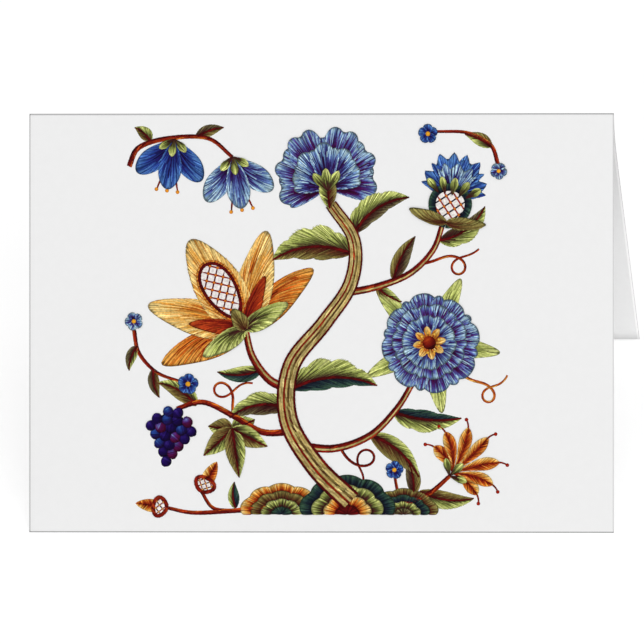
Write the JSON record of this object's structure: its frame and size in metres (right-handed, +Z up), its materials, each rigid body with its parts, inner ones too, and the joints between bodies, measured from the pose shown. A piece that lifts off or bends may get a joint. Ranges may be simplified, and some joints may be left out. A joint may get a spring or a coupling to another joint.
{
  "type": "folded greeting card",
  "caption": "Landscape greeting card of one folded sheet, standing as a tent, its front printed with crewel-style flowers and leaves on a curving tree.",
  "frame": {"origin": "on the surface the card stands on, under the middle of its width and midway between the lower edges of its two leaves", "axes": "+X along the crease, towards the right of the printed front; +Z up; the printed front leaf faces -Y and leans back to the crease"},
  "size_m": [0.1778, 0.1218, 0.1108],
  "materials": {
    "card": "smooth uncoated white card"
  },
  "bodies": {
    "root": {"card_sheet": "card"}
  },
  "joints": []
}
